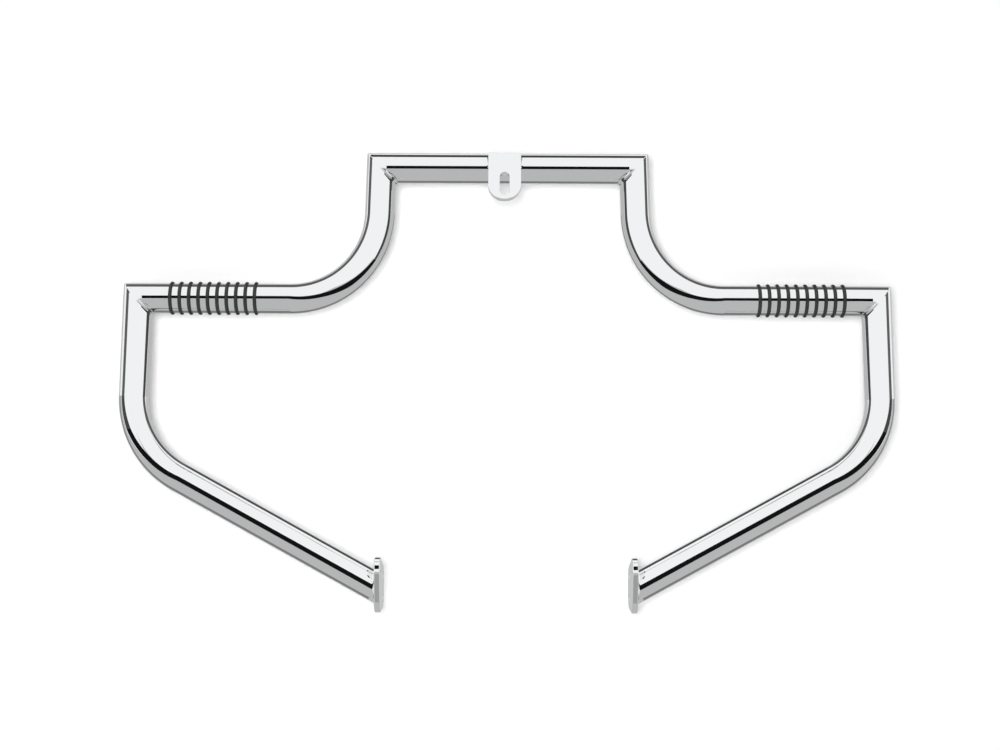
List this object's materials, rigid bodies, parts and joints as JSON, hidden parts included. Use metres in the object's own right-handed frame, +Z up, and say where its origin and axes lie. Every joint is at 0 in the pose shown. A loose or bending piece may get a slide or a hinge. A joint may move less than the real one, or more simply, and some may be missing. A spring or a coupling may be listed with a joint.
{
  "type": "motorcycle crash bar",
  "caption": "Chromed tubular motorcycle crash bar with mitred corners, bent legs, rubber-ringed foot tubes, a slotted top tab and bolt-on lower lugs.",
  "frame": {"origin": "on the centre line of the cross tube, midway between the two risers", "axes": "+X to the right as seen from the front, +Y to the rear, towards the motorcycle, +Z up; the tubes' centre lines lie in the plane y = 0"},
  "size_m": [0.8318, 0.0789, 0.4926],
  "materials": {
    "chromed_tube": "polished",
    "chromed_plate": "polished",
    "chromed_weld": "polished weld",
    "rubber_ring": "moulded"
  },
  "bodies": {
    "root": {"cross_tube": "chromed_tube", "left_shoulder_tube": "chromed_tube", "right_shoulder_tube": "chromed_tube", "left_leg_tube": "chromed_tube", "right_leg_tube": "chromed_tube", "mount_tab": "chromed_plate", "left_lug": "chromed_plate", "right_lug": "chromed_plate", "left_top_weld": "chromed_weld", "right_top_weld": "chromed_weld", "left_corner_weld": "chromed_weld", "right_corner_weld": "chromed_weld", "left_lug_weld": "chromed_weld", "right_lug_weld": "chromed_weld", "left_tab_weld": "chromed_weld", "right_tab_weld": "chromed_weld", "left_ring_1": "rubber_ring", "left_ring_2": "rubber_ring", "left_ring_3": "rubber_ring", "left_ring_4": "rubber_ring", "left_ring_5": "rubber_ring", "left_ring_6": "rubber_ring", "left_ring_7": "rubber_ring", "left_ring_8": "rubber_ring", "left_ring_9": "rubber_ring", "left_ring_10": "rubber_ring", "right_ring_1": "rubber_ring", "right_ring_2": "rubber_ring", "right_ring_3": "rubber_ring", "right_ring_4": "rubber_ring", "right_ring_5": "rubber_ring", "right_ring_6": "rubber_ring", "right_ring_7": "rubber_ring", "right_ring_8": "rubber_ring", "right_ring_9": "rubber_ring", "right_ring_10": "rubber_ring"}
  },
  "joints": []
}
